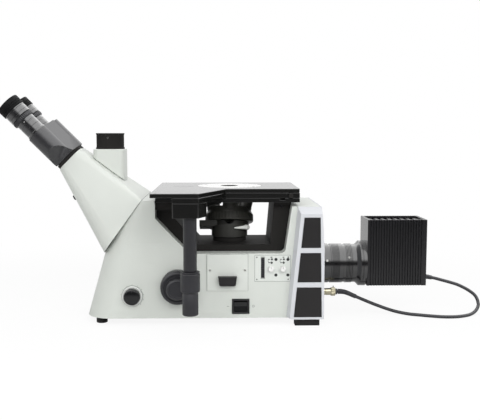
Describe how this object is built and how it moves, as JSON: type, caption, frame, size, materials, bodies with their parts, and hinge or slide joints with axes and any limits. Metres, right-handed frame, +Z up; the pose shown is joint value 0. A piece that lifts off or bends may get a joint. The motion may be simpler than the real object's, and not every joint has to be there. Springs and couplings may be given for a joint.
{
  "type": "inverted microscope",
  "caption": "Inverted microscope with reflected light: a leaning binocular head, a flat stage with a hanging coaxial drive, a nosepiece below it and a finned lamphouse behind.",
  "frame": {"origin": "middle of the outline on the bench surface, under the feet, cable left out", "axes": "+X from the eyepieces to the lamphouse, +Y to the left hand of the user, +Z up"},
  "size_m": [0.8068, 0.3023, 0.3705],
  "materials": {
    "white_paint": "satin, fine texture",
    "cover_paint": "satin",
    "black_paint": "satin",
    "black_plastic": "matte",
    "knob_plastic": "satin",
    "rubber": "matte",
    "aluminium": "satin",
    "steel": "brushed",
    "brass": "satin",
    "glass": "clear",
    "circuit": "matte"
  },
  "bodies": {
    "stand": {"stand_housing": "white_paint", "bottom_plate": "black_paint", "feet": "rubber", "rear_cover": "cover_paint", "side_panels": "black_plastic", "mains_inlet": "black_plastic", "stage_frame": "black_paint", "stage_base": "black_paint", "focus_bushes": "aluminium", "guide_collar": "black_paint", "filter_cube": "black_plastic", "module_cover": "white_paint", "illuminator_tube": "black_paint", "control_panel": "cover_paint", "relay_optics": "black_paint", "power_supply": "circuit", "dimmer_bezel": "aluminium", "power_switch_frame": "black_plastic", "head_housing": "white_paint", "port_column": "white_paint", "photo_tube": "black_paint", "binocular_mount": "black_paint", "lamp_tube": "black_paint", "lamp_collector": "glass", "lamphouse": "black_paint", "lamphouse_cap": "black_paint", "lamp_bulb": "glass", "lamp_cable": "rubber", "lamp_connector": "brass"},
    "stage_y_body": {"stage_carriage": "black_paint", "stage_lock_screw": "steel", "drive_housing": "black_paint", "drive_sleeve": "knob_plastic"},
    "stage_x_body": {"stage_top": "black_paint", "stage_insert": "aluminium"},
    "y_knob_body": {"y_knob": "knob_plastic"},
    "x_knob_body": {"x_knob": "knob_plastic"},
    "lift_body": {"nosepiece_carriage": "aluminium", "nosepiece_base": "black_paint"},
    "turret_body": {"turret": "black_paint", "objective_5x": "aluminium", "objective_10x": "aluminium", "objective_20x": "aluminium", "objective_50x": "aluminium", "turret_plug": "black_plastic"},
    "coarse_body": {"coarse_knobs": "knob_plastic", "focus_pinion": "brass"},
    "fine_body": {"fine_knobs": "knob_plastic"},
    "right_eye_body": {"right_prism_housing": "black_paint", "right_eyepiece": "black_paint"},
    "left_eye_body": {"left_prism_housing": "black_paint", "left_eyepiece": "black_paint"},
    "right_diopter_body": {"right_diopter_ring": "knob_plastic"},
    "left_diopter_body": {"left_diopter_ring": "knob_plastic"},
    "selector_body": {"path_selector": "black_plastic"},
    "dimmer_body": {"dimmer_knob": "knob_plastic"},
    "rocker_body": {"power_rocker": "black_plastic"},
    "analyser_body": {"analyser_slider": "knob_plastic"},
    "field_iris_body": {"field_iris_knob": "steel"},
    "aperture_iris_body": {"aperture_iris_knob": "steel"}
  },
  "joints": [
    {"name": "stage_y", "type": "slide", "parent": "stand", "child": "stage_y_body", "axis": [0, 1, 0], "range_m": [-0.015, 0.015]},
    {"name": "stage_x", "type": "slide", "parent": "stage_y_body", "child": "stage_x_body", "axis": [1, 0, 0], "range_m": [-0.015, 0.015]},
    {"name": "y_knob_turn", "type": "hinge", "parent": "stage_y_body", "child": "y_knob_body", "pos_m": [-0.03883, -0.13605, 0.09], "axis": [0, 0, 1], "range_deg": [-143.7, 143.7]},
    {"name": "x_knob_turn", "type": "hinge", "parent": "stage_y_body", "child": "x_knob_body", "pos_m": [-0.03883, -0.13605, 0.05], "axis": [0, 0, 1], "range_deg": [-143.7, 143.7]},
    {"name": "nosepiece_lift", "type": "slide", "parent": "stand", "child": "lift_body", "axis": [0, 0, 1], "range_m": [-0.007, 0.002]},
    {"name": "turret_turn", "type": "hinge", "parent": "lift_body", "child": "turret_body", "pos_m": [0.02257, 0.054, 0.17765], "axis": [0, 0.2588, 0.9659], "continuous": true},
    {"name": "coarse_turn", "type": "hinge", "parent": "stand", "child": "coarse_body", "pos_m": [-0.06143, 0.02695, 0.0645], "axis": [0, -1, 0], "range_deg": [-68, 20]},
    {"name": "fine_turn", "type": "hinge", "parent": "coarse_body", "child": "fine_body", "pos_m": [-0.06143, 0.02695, 0.0645], "axis": [0, -1, 0], "continuous": true},
    {"name": "right_eye_swing", "type": "hinge", "parent": "stand", "child": "right_eye_body", "pos_m": [-0.25196, 0.02695, 0.29789], "axis": [-0.7071, 0, 0.7071], "range_deg": [-15, 14.2]},
    {"name": "left_eye_swing", "type": "hinge", "parent": "stand", "child": "left_eye_body", "pos_m": [-0.25196, 0.02695, 0.29789], "axis": [-0.7071, 0, 0.7071], "range_deg": [-14.2, 15]},
    {"name": "right_diopter_turn", "type": "hinge", "parent": "right_eye_body", "child": "right_diopter_body", "pos_m": [-0.31453, -0.00505, 0.33148], "axis": [-0.7071, 0, 0.7071], "range_deg": [-120, 120]},
    {"name": "left_diopter_turn", "type": "hinge", "parent": "left_eye_body", "child": "left_diopter_body", "pos_m": [-0.31453, 0.05895, 0.33148], "axis": [-0.7071, 0, 0.7071], "range_deg": [-120, 120]},
    {"name": "selector_pull", "type": "slide", "parent": "stand", "child": "selector_body", "axis": [-0.866, 0, -0.5], "range_m": [0, 0.012]},
    {"name": "dimmer_turn", "type": "hinge", "parent": "stand", "child": "dimmer_body", "pos_m": [-0.13493, -0.05905, 0.0476], "axis": [0, -1, 0], "range_deg": [-135, 135]},
    {"name": "power_rock", "type": "hinge", "parent": "stand", "child": "rocker_body", "pos_m": [0.03937, -0.05505, 0.0302], "axis": [1, 0, 0], "range_deg": [0, 18]},
    {"name": "analyser_pull", "type": "slide", "parent": "stand", "child": "analyser_body", "axis": [0, -1, 0], "range_m": [0, 0.03]},
    {"name": "field_iris_turn", "type": "hinge", "parent": "stand", "child": "field_iris_body", "pos_m": [0.10737, -0.05905, 0.0916], "axis": [0, -1, 0], "range_deg": [-60, 60]},
    {"name": "aperture_iris_turn", "type": "hinge", "parent": "stand", "child": "aperture_iris_body", "pos_m": [0.08807, -0.05905, 0.0916], "axis": [0, -1, 0], "range_deg": [-60, 60]}
  ],
  "couplings": [
    {"joint": "y_knob_turn", "follows": "stage_y", "rad_per_m": 166.67},
    {"joint": "x_knob_turn", "follows": "stage_x", "rad_per_m": 166.67},
    {"joint": "coarse_turn", "follows": "nosepiece_lift", "rad_per_m": 166.67},
    {"joint": "left_eye_swing", "follows": "right_eye_swing", "ratio": -1}
  ]
}
